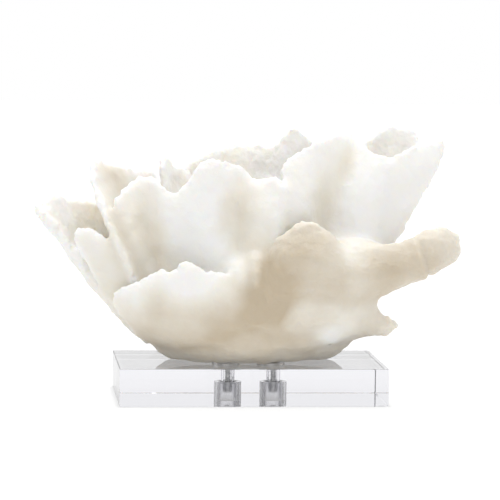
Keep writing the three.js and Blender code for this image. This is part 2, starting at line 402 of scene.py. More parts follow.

# %% [markdown]
# The fronds behind the others are rough and knobbly. Lime that lies low or in front is made
# tanner, partly its own tan and partly painted shade, as less light reaches it there. Two short
# tables hold a maker's judgement for each frond: how rough it is, and how much tan and painted
# shade it has at its root and at its rim. The search tree passes both on to the skin, and
# softening the values over the mesh hides where one frond ends and the next begins.

# %% Give every point its frond's roughness, tan and painted shade
ROUGH = {
    "back_frond": 0.6,
    "back_right_frond": 0.6,
    "back_spike": 0.35,
    "far_left_frond": 0.5,
    "thumb_frond": 0.3,
    "coral_foot": 0.3,
}
# Tan and painted shade at each frond's root and rim: most on the low and front fronds.
TAN_AND_SHADE = {
    "coral_foot": (0.7, 0.6),
    "front_shelf": (1.0, 0.0),
    "spur_frond": (0.75, 0.45),
    "thumb_frond": (0.9, 0.55),
    "centre_frond": (0.3, 0.0),
    "right_frond": (0.2, 0.0),
    "left_frond": (0.5, 0.1),
    "far_left_frond": (0.5, 0.0),
    "far_left_inner_lobe": (0.5, 0.15),
    "back_frond": (0.4, 0.0),
    "back_right_frond": (0.4, 0.0),
    "back_spike": (0.3, 0.0),
}
LEAST_ROUGH = 0.12
ROUGH_SOFTENING = 30
TAN_AND_SHADE_SOFTENING = 80

skin_points = positions(coral.data)
owners = np.array([frond_numbers[frond_tree.find(point)[1]] for point in skin_points])
rough_of = np.array([ROUGH.get(name, LEAST_ROUGH) for name in coral_nodes])
tan_and_shade_of = np.array([TAN_AND_SHADE[name] for name in coral_nodes])
reach_of = np.array([[corner[2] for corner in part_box(name)] for name in coral_nodes])

# Blending from root to rim darkens each frond towards the bottom with painted shade.
low, high = reach_of[owners].T
share_up = np.clip((skin_points[:, 2] - low) / (high - low), 0, 1)
root_tan_and_shade, rim_tan_and_shade = tan_and_shade_of[owners].T
rough = soften(rough_of[owners], ROUGH_SOFTENING)
tan = soften(root_tan_and_shade + (rim_tan_and_shade - root_tan_and_shade) * share_up, TAN_AND_SHADE_SOFTENING)
print(f"mean roughness {rough.mean():.2f}, mean tan {tan.mean():.2f}")

# %% [markdown]
# Light falls unevenly into the hollows, so no frond looks one even colour. A painter would dab
# painted shade on with a soft brush, and this table is that brush: where each dab goes, how far
# it reaches in millimetres, and how strong it is. A minus sign dabs painted light, lime white,
# over the tan.

# %% Dab on painted shade and painted light
SHADE_AND_LIGHT_DABS = [
    ((-81, -23, 119), 18, 0.40),
    ((-71, -25, 101), 18, 0.12),
    ((-14, -35, 130), 19, 0.25),
    ((-6, -38, 106), 16, 0.12),
    ((-48, -38, 125), 17, -0.30),
    ((-35, -43, 160), 16, -0.30),
    ((-90, 13, 144), 13, 0.30),
    ((-103, 23, 121), 16, 0.30),
    ((61, -17, 160), 11, 0.25),
    ((50, -24, 142), 15, 0.22),
    ((42, -27, 120), 16, 0.25),
    ((80, -30, 125), 20, -0.40),
    ((23, -61, 106), 18, 0.35),
    ((60, -58, 104), 12, -0.35),
    ((64, -48, 109), 9, -0.10),
    ((-100, 0, 148), 12, 0.20),
    ((99, -53, 103), 14, 0.25),
    ((83, -60, 92), 14, 0.28),
    ((122, -52, 107), 12, 0.10),
    ((7, -57, 76), 18, 0.40),
    ((-5, -56, 62), 20, 0.40),
    ((-45, -63, 84), 17, -0.50),
    ((-78, -45, 75), 12, -0.35),
    ((-40, -60, 66), 14, 0.20),
    ((61, -51, 62), 14, -0.15),
    ((50, -41, 45), 14, -0.60),
    ((-68, -55, 68), 14, 0.20),
    ((-18, -51, 46), 16, 0.15),
    ((95, -28, 150), 20, -0.30),
    ((-30, -41, 96), 16, -0.20),
    ((16, 44, 155), 15, -0.30),
]

# Each dab adds painted shade, or with a minus sign painted light.
for centre, reach, strength in SHADE_AND_LIGHT_DABS:
    away = np.linalg.norm(skin_points - np.array(centre) * MM, axis=1)
    tan += strength * np.exp(-((away / (reach * MM)) ** 2))
print(f"dabs: {len(SHADE_AND_LIGHT_DABS)}, tan now from {tan.min():.2f} to {tan.max():.2f}")

# %% [markdown]
# The thumb's tip looks as if it once broke off and healed: a lip of lime runs round it beside a
# groove, and the new tip grew past them. Both are bands along one slanted plane through the
# thumb, which is simpler to say in numbers than to sculpt. Low on the right of the foot is one
# open pore, the kind a boring worm leaves.

# %% Shape the healed tip and the pore
TIP_PLACE = np.array((109.4, 0, 101.2)) * MM
TIP_WAY = np.array((0.947, 0, 0.317))
BAND = 2.2 * MM
GROOVE_DEPTH = 1.3 * MM
LIP_OFFSET = 3.5 * MM
LIP_HEIGHT = 1.0 * MM
PORE_PLACE = np.array((51, -32, 40)) * MM
PORE_REACH = 1.3 * MM
PORE_DEPTH = 1.5 * MM

on_thumb = owners == coral_nodes.index("thumb_frond")
past = (skin_points - TIP_PLACE) @ TIP_WAY
groove = on_thumb * np.exp(-((past / BAND) ** 2))
lip = on_thumb * np.exp(-(((past + LIP_OFFSET) / BAND) ** 2))
pore = np.exp(-((np.linalg.norm(skin_points - PORE_PLACE, axis=1) / PORE_REACH) ** 2))
print(f"largest weights: groove {groove.max():.2f}, lip {lip.max():.2f}, pore {pore.max():.2f}")

for name, values, height in (
    ("groove", groove, -GROOVE_DEPTH),
    ("lip", lip, LIP_HEIGHT),
    ("pore", pore, -PORE_DEPTH),
):
    weight(coral, name + "_band", values)
    apply_modifier(coral, "DISPLACE", strength=height, mid_level=0.0, vertex_group=name + "_band")

# %% [markdown]
# The material and the next modifiers need the same values in two forms: a shader reads an
# attribute of the mesh, and a modifier reads a vertex group. A new attribute can't take the name
# of a group that is already there, so the attributes are written first.

# %% Write the values to the mesh
RIM_GRAIN = 0.7

measured = {"rim": rim, "fold": fold, "rough": rough, "tan": tan, "pore": pore}
for name, values in measured.items():
    stored = coral.data.attributes.new(name, "FLOAT", "POINT")
    stored.data.foreach_set("value", values.astype(np.float32))

weight(coral, "rim", rim)
weight(coral, "rough", rough)
weight(coral, "grainy", np.maximum(rough, RIM_GRAIN * rim))
print("vertex groups:", [group.name for group in coral.vertex_groups])

# %% [markdown]
# ## Lumps, nicks and granules
#
# A coral plate is never even. Broad lumps roll over its faces, its rims are nicked, and the
# rough fronds carry granules a few millimetres across. A bump in the material would fake all
# three, but it leaves the outline smooth. Displace modifiers move the points themselves, so the
# outline breaks up too, and the vertex groups keep nicks to the rims and granules to the rough
# fronds. The table gives each layer's texture size and depth, its height, and its group.

# %% Displace the skin with procedural textures


def cloud_texture(name, size, depth):
    """A soft procedural noise with clouds of this size."""
    texture = bpy.data.textures.new(name, "CLOUDS")
    texture.noise_scale = size
    texture.noise_depth = depth
    texture.noise_basis = "IMPROVED_PERLIN"
    return texture


UNMOVED_TONE = 0.5
LAYERS = [
    ("lumps", 22 * MM, 2, 6.0 * MM, ""),
    ("knobs", 7 * MM, 2, 4.5 * MM, "rough"),
    ("nicks", 5.0 * MM, 3, 7.0 * MM, "rim"),
    ("granules", 2.4 * MM, 1, 3.0 * MM, "grainy"),
]
for name, size, depth, height, group in LAYERS:
    texture = cloud_texture(name, size, depth)
    settings = {"texture": texture, "texture_coords": "LOCAL", "strength": height}
    apply_modifier(coral, "DISPLACE", mid_level=UNMOVED_TONE, vertex_group=group, **settings)
smooth(coral, 1)
measure(coral)

# %% [markdown]
# An even voxel skin spends as many triangles on a smooth cheek as on a nicked rim. A coarser
# remesh would lose the nicks. The Decimate modifier merges points where the surface is nearly
# flat and keeps them where it bends, so the detail stays and the mesh gets lighter.

# %% Thin out the triangles
MOST_TRIANGLES = 190_000

bpy.context.view_layer.update()
triangle_count = sum(len(face.vertices) - 2 for face in coral.data.polygons)
apply_modifier(coral, "DECIMATE", ratio=MOST_TRIANGLES / triangle_count)
measure(coral)

# %% [markdown]
# The foot was cut flat to sit on the block. Swelling pushed its underside into the acrylic, so
# every point below the cut is flattened onto it, a hair above the block, by scaling its height
# to nothing. Cutting it off with a Boolean would do too, but a cut through so fine a mesh can
# leave slivers along its edge.

# %% Flatten the underside
BLOCK_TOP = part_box("acrylic_block")[1][2]
SEAT_GAP = 0.1 * MM

seat = BLOCK_TOP + SEAT_GAP


def select_points(piece, wanted):
    """Selects the vertices that the test wants, and nothing else, and enters edit mode."""
    only(piece)
    bpy.ops.object.mode_set(mode="EDIT")
    bpy.ops.mesh.select_mode(type="VERT")
    bpy.ops.mesh.select_all(action="DESELECT")
    bpy.ops.object.mode_set(mode="OBJECT")
    found = [vertex for vertex in piece.data.vertices if wanted(vertex.co)]
    for vertex in found:
        vertex.select = True
    bpy.ops.object.mode_set(mode="EDIT")
    return len(found)


print("points on the seat:", select_points(coral, lambda point: point.z < seat))
bpy.ops.transform.resize(value=(1, 1, 0), center_override=(0, 0, seat))
bpy.ops.object.mode_set(mode="OBJECT")
bpy.ops.object.shade_smooth()

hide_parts(*coral_nodes)
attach(coral, "root")

# %% [markdown]
# ## The coral's finish
#
# Coral lime is white and lets light in: a thin rim glows, and a thick base goes warm and dim.
# Paint alone would look like plaster. Subsurface scattering does the glow, and the colour adds
# painted light and painted shade to it: it runs from white on the rims to tan in the low folds,
# driven by the values measured above. Nodes could be wired one by one, but small helpers that
# add and link a node keep a material short.

# %% Helpers for shader nodes


def add(tree, kind, settings=(), inputs=()):
    """Adds a shader node, sets its properties, and fills or links its inputs."""
    made = tree.nodes.new(kind)
    for name, value in dict(settings).items():
        setattr(made, name, value)
    for name, value in dict(inputs).items():
        if isinstance(value, bpy.types.NodeSocket):
            tree.links.new(value, made.inputs[name])
        else:
            made.inputs[name].default_value = value
    return made


def math_node(tree, operation, first, second, clamp=False):
    """The result of one operation on two values, each a number or a socket."""
    settings = {"operation": operation, "use_clamp": clamp}
    return add(tree, "ShaderNodeMath", settings, {0: first, 1: second}).outputs[0]


def scale_and_shift(tree, value, factor, shift):
    """Multiplies a value and adds a fixed amount to it."""
    settings = {"operation": "MULTIPLY_ADD"}
    return add(tree, "ShaderNodeMath", settings, {0: value, 1: factor, 2: shift}).outputs[0]


def mix(tree, factor, first, second):
    """Blends two colours, each a colour or a socket, by a factor."""
    inputs = {"Factor": factor, 6: first, 7: second}
    return add(tree, "ShaderNodeMix", {"data_type": "RGBA"}, inputs).outputs[2]


def noise(tree, place, scale, detail):
    """A noise texture's value."""
    inputs = {"Vector": place, "Scale": scale, "Detail": detail}
    return add(tree, "ShaderNodeTexNoise", inputs=inputs).outputs["Fac"]


def add_bump(tree, shader, height, strength, distance):
    """Lets a height tilt the shader's normal."""
    inputs = {"Height": height, "Strength": strength, "Distance": distance}
    bump = add(tree, "ShaderNodeBump", inputs=inputs)
    tree.links.new(bump.outputs["Normal"], shader.inputs["Normal"])


def ramp(tree, factor, stops):
    """A colour ramp with these (position, colour) stops."""
    made = add(tree, "ShaderNodeValToRGB", inputs={"Fac": factor})
    elements = made.color_ramp.elements
    while len(elements) < len(stops):
        elements.new(0.5)
    for element, (position, colour) in zip(elements, stops):
        element.position = position
        element.color = (*colour, 1)
    return made.outputs["Color"]


def new_material(name):
    """A material with its node tree, its shader and the place on the object."""
    made = bpy.data.materials.new(name)
    made.use_nodes = True
    shader = made.node_tree.nodes["Principled BSDF"]
    place = add(made.node_tree, "ShaderNodeTexCoord").outputs["Object"]
    return made, made.node_tree, shader, place


print("helpers:", ", ".join(each.__name__ for each in (add, math_node, mix, noise, ramp)))

# %% [markdown]
# The tan and painted shade values set the colour: folds add a little painted shade, rims take
# some away as painted light, and a broad noise lets it drift, as it does on anything that grew.
# Roughness and bump come from a fine grain, and the rough fronds also get small pits. The one
# open pore is painted dark inside, as painted shade in the hole. Light that sinks in needs three
# settings: how much of it does, how far each colour travels, and the scale.

# %% Coral material
# The ramp runs from lime white, reached by the painted rim light, through cream to a dark tan
# that is partly the lime's tan and partly painted shade.
RIM_WHITE = (0.93, 0.925, 0.905)
BODY_CREAM = (0.84, 0.805, 0.725)
DARK_TAN_AND_SHADE = (0.60, 0.51, 0.38)
PORE_SHADE = (0.05, 0.035, 0.02)

CREAM_AT = 0.35
FOLD_TO_SHADE = 0.12
RIM_LIGHT_TO_WHITE = 0.3
DRIFT_SCALE = 45
DRIFT_DETAIL = 4
DRIFT_SPREAD = 0.5
GRAIN_SCALE = 700
GRAIN_DETAIL = 3
PIT_SCALE = 420
SMOOTHEST = 0.42
ROUGH_SPREAD = 0.25
GRAIN_BUMP = 0.6
GRAIN_HEIGHT = 0.5 * MM
LIGHT_INSIDE = 0.75
LIGHT_REACH = (1.0, 0.85, 0.65)
LIGHT_DEPTH = 3.5 * MM
LIME_IOR = 1.45

coral_lime, tree, shader, place = new_material("coral_lime")
values = {}
for name in measured:
    values[name] = add(tree, "ShaderNodeAttribute", {"attribute_name": name}).outputs["Fac"]
clouds = noise(tree, place, DRIFT_SCALE, DRIFT_DETAIL)
grain = noise(tree, place, GRAIN_SCALE, GRAIN_DETAIL)
pits = add(tree, "ShaderNodeTexVoronoi", inputs={"Vector": place, "Scale": PIT_SCALE})

# Folds add painted shade and rims painted light.
painted_fold_shade = math_node(tree, "MULTIPLY", values["fold"], FOLD_TO_SHADE)
tan_and_shade_amount = math_node(tree, "ADD", values["tan"], painted_fold_shade)
painted_rim_light = math_node(tree, "MULTIPLY", values["rim"], RIM_LIGHT_TO_WHITE)
tan_and_shade_amount = math_node(tree, "SUBTRACT", tan_and_shade_amount, painted_rim_light)
drift = scale_and_shift(tree, clouds, DRIFT_SPREAD, -DRIFT_SPREAD / 2)
tan_and_shade_amount = math_node(tree, "ADD", tan_and_shade_amount, drift, clamp=True)
stops = [(0.0, RIM_WHITE), (CREAM_AT, BODY_CREAM), (1.0, DARK_TAN_AND_SHADE)]
skin_colour = ramp(tree, tan_and_shade_amount, stops)
# The pore is painted dark, as painted shade in the hole.
skin_colour = mix(tree, values["pore"], skin_colour, (*PORE_SHADE, 1))
tree.links.new(skin_colour, shader.inputs["Base Color"])

dulled = scale_and_shift(tree, grain, ROUGH_SPREAD, SMOOTHEST)
tree.links.new(dulled, shader.inputs["Roughness"])
pit_depth = math_node(tree, "MULTIPLY", pits.outputs["Distance"], values["rough"])
relief = math_node(tree, "ADD", grain, pit_depth)
add_bump(tree, shader, relief, GRAIN_BUMP, GRAIN_HEIGHT)

shader.inputs["Subsurface Weight"].default_value = LIGHT_INSIDE
shader.inputs["Subsurface Radius"].default_value = LIGHT_REACH
shader.inputs["Subsurface Scale"].default_value = LIGHT_DEPTH
shader.inputs["IOR"].default_value = LIME_IOR
coral.data.materials.append(coral_lime)
print("coral material nodes:", len(tree.nodes))

# %% [markdown]
# ## The block
#
# The stand is a sawn and polished acrylic block with eased edges and two stepped holes drilled
# from below. The construction solid has the right sizes but coarse holes, and clear material
# shows every facet. So a new block is modelled: a cube is scaled to the solid's box, its edges
# are bevelled, and round cutters make the holes.

# %% Bevelled block
BLOCK_EASE = 0.6 * MM
BLOCK_EASE_STEPS = 3
CORNER_EASE = 1.0 * MM
CORNER_EASE_STEPS = 5

block_low, block_high = (Vector(corner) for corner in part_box("acrylic_block"))
bpy.ops.object.select_all(action="DESELECT")
bpy.ops.mesh.primitive_cube_add(size=1, location=(block_low + block_high) / 2)
block = bpy.context.object
block.name = "clear_block"
block.scale = block_high - block_low
bpy.ops.object.transform_apply(location=True, rotation=True, scale=True)


def bevel_edges(piece, upright, offset, segments):
    """Bevels either the upright edges of a piece or all its other edges."""
    only(piece)
    modes = bpy.context.tool_settings
    modes.mesh_select_mode = (False, True, False)
    bpy.ops.object.mode_set(mode="EDIT")
    bpy.ops.mesh.select_all(action="DESELECT")
    bpy.ops.object.mode_set(mode="OBJECT")
    for edge in piece.data.edges:
        first, second = (piece.data.vertices[number].co for number in edge.vertices)
        edge.select = (abs(first.z - second.z) > CORNER_EASE) == upright
    bpy.ops.object.mode_set(mode="EDIT")
    bpy.ops.mesh.bevel(offset=offset, segments=segments, affect="EDGES")
    bpy.ops.object.mode_set(mode="OBJECT")
    modes.mesh_select_mode = (True, False, False)


bevel_edges(block, True, CORNER_EASE, CORNER_EASE_STEPS)
bevel_edges(block, False, BLOCK_EASE, BLOCK_EASE_STEPS)
measure(block)

# %% [markdown]
# A drill leaves fine rings on the wall of a hole, and in clear acrylic they show as grey lines.
# They could be a bump, but light bends through this wall, so the cutter gets real rings: its
# profile is drawn as a chain of edges with a shallow saw-tooth and is spun about the screw.

# %% Draw and spin a profile
SPIN_STEPS = 96
SPIN_SLACK = 0.002 * MM


def draw_profile(name, points):
    """Draws a chain of edges through (radius, height) points by extruding one vertex."""
    bpy.ops.object.select_all(action="DESELECT")
    bpy.ops.mesh.primitive_plane_add(size=MM)
    piece = bpy.context.object
    piece.name = name
    bpy.ops.object.mode_set(mode="EDIT")
    bpy.ops.mesh.select_all(action="SELECT")
    bpy.ops.mesh.merge(type="CENTER")
    places = [Vector((radius, 0, height)) for radius, height in points]
    bpy.ops.transform.translate(value=places[0])
    for before, after in zip(places, places[1:]):
        bpy.ops.mesh.extrude_vertices_move(TRANSFORM_OT_translate={"value": after - before})
    bpy.ops.object.mode_set(mode="OBJECT")
    return piece


def spin_profile(name, points, steps=SPIN_STEPS):
    """Turns a profile about the Z axis into a closed solid."""
    piece = draw_profile(name, points)
    bpy.ops.object.mode_set(mode="EDIT")
    bpy.ops.mesh.select_all(action="SELECT")
    bpy.ops.mesh.spin(steps=steps, angle=2 * math.pi, center=(0, 0, 0), axis=(0, 0, 1))
    bpy.ops.mesh.select_all(action="SELECT")
    bpy.ops.mesh.remove_doubles(threshold=SPIN_SLACK)
    bpy.ops.mesh.normals_make_consistent(inside=False)
    bpy.ops.object.mode_set(mode="OBJECT")
    return piece


def move_to(piece, x, y):
    """Slides a piece sideways and bakes its new place into the mesh."""
    only(piece)
    piece.location = (x, y, 0)
    bpy.ops.object.transform_apply(location=True, rotation=True, scale=True)


def cut(piece, cutter, operation="DIFFERENCE"):
    """Cuts or joins with a Boolean modifier, and removes the tool."""
    apply_modifier(piece, "BOOLEAN", operation=operation, object=cutter, solver="EXACT")
    bpy.data.meshes.remove(cutter.data)


print("one turn takes", SPIN_STEPS, "steps")

# %% [markdown]
# Each hole is a narrow bore for the shank over a wide counterbore for the head. Both could be
# cut one after the other, but a real stepped drill makes them in one go, and so does one spun
# profile. It starts below the block and ends above it, so that no thin film is left over.

# %% Drill the stepped holes
HOLE_RADIUS = 9.5 * MM / 2
COUNTERBORE_RADIUS = 18.5 * MM / 2
RING_PITCH = 0.9 * MM
RING_DEPTH = 0.06 * MM
PAST = 1 * MM

counterbore_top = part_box("washer_left")[1][2]
screw_places = {}
for side in ("left", "right"):
    low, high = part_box("screw_" + side)
    screw_places[side] = ((low[0] + high[0]) / 2, (low[1] + high[1]) / 2)

ring_heights = np.arange(0, counterbore_top - RING_PITCH / 2, RING_PITCH / 2)
ring_wall = []
for number, height in enumerate(ring_heights):
    ring_wall.append((COUNTERBORE_RADIUS - RING_DEPTH * (number % 2), height))
hole_profile = [
    (0, -PAST),
    (COUNTERBORE_RADIUS, -PAST),
    *ring_wall,
    (COUNTERBORE_RADIUS, counterbore_top),
    (HOLE_RADIUS, counterbore_top),
    (HOLE_RADIUS, BLOCK_TOP + PAST),
    (0, BLOCK_TOP + PAST),
]
for side, (x, y) in screw_places.items():
    drill = spin_profile("drill", hole_profile)
    move_to(drill, x, y)
    cut(block, drill)
measure(block)

# %% [markdown]
# Light that bends through the block shows every facet of a round wall, so round walls are shaded
# smooth. The polished flats have to stay flat right up to their edges, or the block looks like a
# pillow. Shading by angle does both: it smooths edges that turn by a few degrees, as the steps
# of a round wall do, and leaves the others sharp.

# %% Shade the round walls smooth and the flats flat
ROUND_STEP = math.radians(5)

only(block)
bpy.ops.object.shade_smooth_by_angle(angle=ROUND_STEP)
sharp_edges = sum(edge.use_edge_sharp for edge in block.data.edges)
print("sharp edges:", sharp_edges, "of", len(block.data.edges))
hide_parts("acrylic_block")
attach(block, "root")

# %% [markdown]
# ## Clear and drilled acrylic
#
# Polished acrylic bends light a little less than glass, and takes a faint cool tint over a long
# way through. A drilled wall is the same material with a torn surface, so it scatters the light
# it lets through and looks grey. Two materials share the block: clear all over, and cloudy on
# the walls of the counterbores.

# %% Acrylic materials
ACRYLIC_IOR = 1.49
ACRYLIC_TINT = (0.90, 0.90, 0.915)
TINT_DENSITY = 24.0
ACRYLIC_BUMP = 0.5
ACRYLIC_DETAIL = 3


def acrylic(name, roughness, spread, relief_scale, relief):
    """Clear plastic with a roughness from a noise that spreads upwards from a least value."""
    made, tree, shader, place = new_material(name)
    shader.inputs["Base Color"].default_value = (1, 1, 1, 1)
    shader.inputs["Transmission Weight"].default_value = 1.0
    shader.inputs["IOR"].default_value = ACRYLIC_IOR
    marks = noise(tree, place, relief_scale, ACRYLIC_DETAIL)
    haze = scale_and_shift(tree, marks, spread, roughness)
    tree.links.new(haze, shader.inputs["Roughness"])
    add_bump(tree, shader, marks, ACRYLIC_BUMP, relief)
    depth_inputs = {"Color": (*ACRYLIC_TINT, 1), "Density": TINT_DENSITY}
    depth = add(tree, "ShaderNodeVolumeAbsorption", inputs=depth_inputs)
    tree.links.new(depth.outputs["Volume"], tree.nodes["Material Output"].inputs["Volume"])
    return made


clear = acrylic(
    "clear_acrylic",
    roughness=0.0,
    spread=0.012,
    relief_scale=30,
    relief=0.01 * MM,
)
drilled = acrylic(
    "drilled_acrylic",
    roughness=0.2,
    spread=0.25,
    relief_scale=900,
    relief=0.12 * MM,
)
block.data.materials.clear()
block.data.materials.append(clear)
block.data.materials.append(drilled)
print("materials on the block:", [material.name for material in block.data.materials])

# %% [markdown]
# The Boolean cut has left the holes' walls as faces of the block. They could be picked by hand,
# but their place tells them apart: a face belongs to a counterbore if its middle lies within its
# radius and below its roof. The roof itself and the block's flats are faces with many corners,
# and stay clear.

# %% Give the drilled walls their own material
WALL_REACH = 0.2 * MM
MANY_CORNERS = 8


def in_counterbore(point):
    """Whether a point lies in a counterbore or on its wall or roof."""
    for x, y in screw_places.values():
        away = math.hypot(point.x - x, point.y - y)
        if away < COUNTERBORE_RADIUS + WALL_REACH and point.z < counterbore_top + WALL_REACH:
            return True
    return False


drilled_faces = 0
for face in block.data.polygons:
    if in_counterbore(face.center) and len(face.vertices) < MANY_CORNERS:
        face.material_index = 1
        drilled_faces += 1
print("drilled faces:", drilled_faces)

# %% [markdown]
# ## The screws
#
# Two socket-head cap screws hold the coral from below. Their heads are knurled so that fingers
# can start them, the socket takes a hex key, and the shank carries a rolled thread. A painted
# stripe pattern would pass from afar, but the head shows large through the clear block, so the
# knurl, socket and thread are all real.

# %% Head with a knurl and a hex socket
HEAD_RADIUS = 5 * MM
HEAD_EASE = 0.6 * MM
KNURL_TEETH = 36
KNURL_KEEP = 0.965
SOCKET_ACROSS = 5 * MM
SOCKET_DEPTH = 3.2 * MM

head_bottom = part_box("screw_left")[0][2]
head_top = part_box("washer_left")[0][2]
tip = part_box("screw_left")[1][2]


def make_head(name):
    """A cap screw's head: a spun blank, knurled by moving points, with a hex socket cut in."""
    profile = [
        (0, head_bottom),
        (HEAD_RADIUS - HEAD_EASE, head_bottom),
        (HEAD_RADIUS, head_bottom + HEAD_EASE),
        (HEAD_RADIUS, head_top - HEAD_EASE / 2),
        (HEAD_RADIUS - HEAD_EASE / 2, head_top),
        (0, head_top),
    ]
    head = spin_profile(name, profile, KNURL_TEETH * 2)
    for vertex in head.data.vertices:
        turn = math.atan2(vertex.co.y, vertex.co.x) / math.pi * KNURL_TEETH
        on_wall = math.hypot(vertex.co.x, vertex.co.y) > HEAD_RADIUS - SLACK
        vertex.select = on_wall and round(turn) % 2 == 1
    bpy.ops.object.mode_set(mode="EDIT")
    keep = (KNURL_KEEP, KNURL_KEEP, 1)
    bpy.ops.transform.resize(value=keep, center_override=(0, 0, 0))
    bpy.ops.object.mode_set(mode="OBJECT")
    bpy.ops.object.select_all(action="DESELECT")
    across_corners = SOCKET_ACROSS / math.cos(math.pi / 6)
    bpy.ops.mesh.primitive_cylinder_add(
        vertices=6,
        radius=across_corners / 2,
        depth=2 * SOCKET_DEPTH,
        location=(0, 0, head_bottom),
    )
    socket = bpy.context.object
    bpy.ops.object.transform_apply(location=True, rotation=True, scale=True)
    cut(head, socket)
    return head


print(f"head: {(head_top - head_bottom) / MM:.1f} mm high, {KNURL_TEETH} teeth")

# %% [markdown]
# A thread is one small tooth, carried round and up. The Screw modifier does just that: it turns
# a drawn tooth through many turns and joins each turn to the last. Its ends come out open and
# ragged, so each end is cut off flat and filled.

# %% Threaded shank
THREAD_PITCH = 1.0 * MM
THREAD_CREST = 2.98 * MM
THREAD_ROOT = 2.4 * MM
THREAD_STEPS = 32
PLAIN_LENGTH = 2 * MM
TURNS_BELOW = 2.3
SPARE_TURNS = 4
CUT_SLACK = 0.001 * MM


def cut_flat(piece, height, upwards):
    """Cuts a piece off at a height, drops what lies beyond, and closes the cut."""
    only(piece)
    bpy.ops.object.mode_set(mode="EDIT")
    bpy.ops.mesh.select_all(action="SELECT")
    bpy.ops.mesh.bisect(
        plane_co=(0, 0, height),
        plane_no=(0, 0, 1 if upwards else -1),
        use_fill=True,
        clear_outer=True,
        threshold=CUT_SLACK,
    )
    bpy.ops.object.mode_set(mode="OBJECT")


def make_shank(name):
    """A threaded rod that runs from the plain neck to the screw's tip."""
    start = head_top + PLAIN_LENGTH
    turns = math.ceil((tip - start) / THREAD_PITCH) + SPARE_TURNS
    tooth = [
        (THREAD_ROOT, 0),
        (THREAD_ROOT, 0.15 * THREAD_PITCH),
        (THREAD_CREST, 0.5 * THREAD_PITCH),
        (THREAD_CREST, 0.65 * THREAD_PITCH),
        (THREAD_ROOT, THREAD_PITCH),
    ]
    lifted = [(radius, height + start - TURNS_BELOW * THREAD_PITCH) for radius, height in tooth]
    shank = draw_profile(name, lifted)
    apply_modifier(
        shank,
        "SCREW",
        axis="Z",
        angle=2 * math.pi,
        screw_offset=THREAD_PITCH,
        iterations=turns,
        steps=THREAD_STEPS,
        render_steps=THREAD_STEPS,
        use_merge_vertices=True,
        merge_threshold=SLACK,
    )
    merge_doubles(shank, SLACK / 2)
    cut_flat(shank, tip, True)
    cut_flat(shank, start, False)
    bpy.ops.object.mode_set(mode="EDIT")
    bpy.ops.mesh.select_all(action="SELECT")
    bpy.ops.mesh.normals_make_consistent(inside=False)
    bpy.ops.object.mode_set(mode="OBJECT")
    measure(shank)
    return shank


print(f"thread: {(tip - head_top - PLAIN_LENGTH) / THREAD_PITCH:.1f} turns")

# %% [markdown]
# On a real screw the head, the plain neck and the thread are one bar of steel. Here each is a
# closed solid of its own, and a Boolean union makes one piece of them. Unions need solids that
# overlap: the neck reaches a little into the head below it and into the thread above it.

# %% Join head, neck and thread
NECK_RADIUS = 2.9 * MM
NECK_STEPS = 48
INTO_HEAD = 0.5 * MM
INTO_THREAD = 0.3 * MM
KNURL_TURN = math.radians(20)


def make_screw(side):
    """One whole screw in its hole, standing in for its construction solid."""
    screw = make_head("cap_screw_" + side)
    neck_low = head_top - INTO_HEAD
    neck_high = head_top + PLAIN_LENGTH + INTO_THREAD
    neck_profile = [
        (0, neck_low),
        (NECK_RADIUS, neck_low),
        (NECK_RADIUS, neck_high),
        (0, neck_high),
    ]
    cut(screw, spin_profile("neck", neck_profile, NECK_STEPS), "UNION")
    cut(screw, make_shank("shank"), "UNION")
    move_to(screw, *screw_places[side])
    bpy.ops.object.shade_smooth_by_angle(angle=KNURL_TURN)
    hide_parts("screw_" + side)
    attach(screw, "root")
    measure(screw)
    return screw


screws = [make_screw(side) for side in screw_places]

# %% [markdown]
# ## The washers
#
# A washer is stamped from sheet, so its edges are slightly rounded on one side and square on the
# other. A bevelled ring is enough: its section is drawn once, closed on itself, and spun.

# %% Stamped washers
WASHER_EASE = 0.3 * MM
WASHER_BEND = 0.3
WASHER_HOLE = 3.3 * MM
WASHER_STEPS = 64
WASHER_TURN = math.radians(25)


def make_washer(side):
    """One washer with a rounded lower rim, standing in for its construction solid."""
    low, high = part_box("washer_" + side)
    radius = (high[0] - low[0]) / 2
    halfway = WASHER_BEND * WASHER_EASE
    section = [
        (WASHER_HOLE, low[2]),
        (radius - WASHER_EASE, low[2]),
        (radius - halfway, low[2] + halfway),
        (radius, low[2] + WASHER_EASE),
        (radius, high[2]),
        (WASHER_HOLE + WASHER_EASE / 2, high[2]),
        (WASHER_HOLE, high[2] - WASHER_EASE / 2),
        (WASHER_HOLE, low[2]),
    ]
    washer = spin_profile("flat_washer_" + side, section, WASHER_STEPS)
    move_to(washer, *screw_places[side])
    bpy.ops.object.shade_smooth_by_angle(angle=WASHER_TURN)
    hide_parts("washer_" + side)
    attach(washer, "root")
    measure(washer)
    return washer


washers = [make_washer(side) for side in screw_places]

# %% [markdown]
# ## Steel
#
# Both kinds of steel are bright metal with fine marks and darker blotches: the screws are lightly
# blackened in blotches from rolling, and the washers are brushed. Marks are drawn with a noise
# stretched along the way the tool ran, which changes both the roughness and the height.

# %% Steel materials
MARK_DETAIL = 4
MARK_SPREAD = 0.25
MARK_BUMP = 0.3
MARK_DEPTH = 0.05 * MM
BLOTCH_SCALE = 600
BLOTCH_DETAIL = 2
GRIME_UNTIL = 0.3
CLEAN_FROM = 0.6


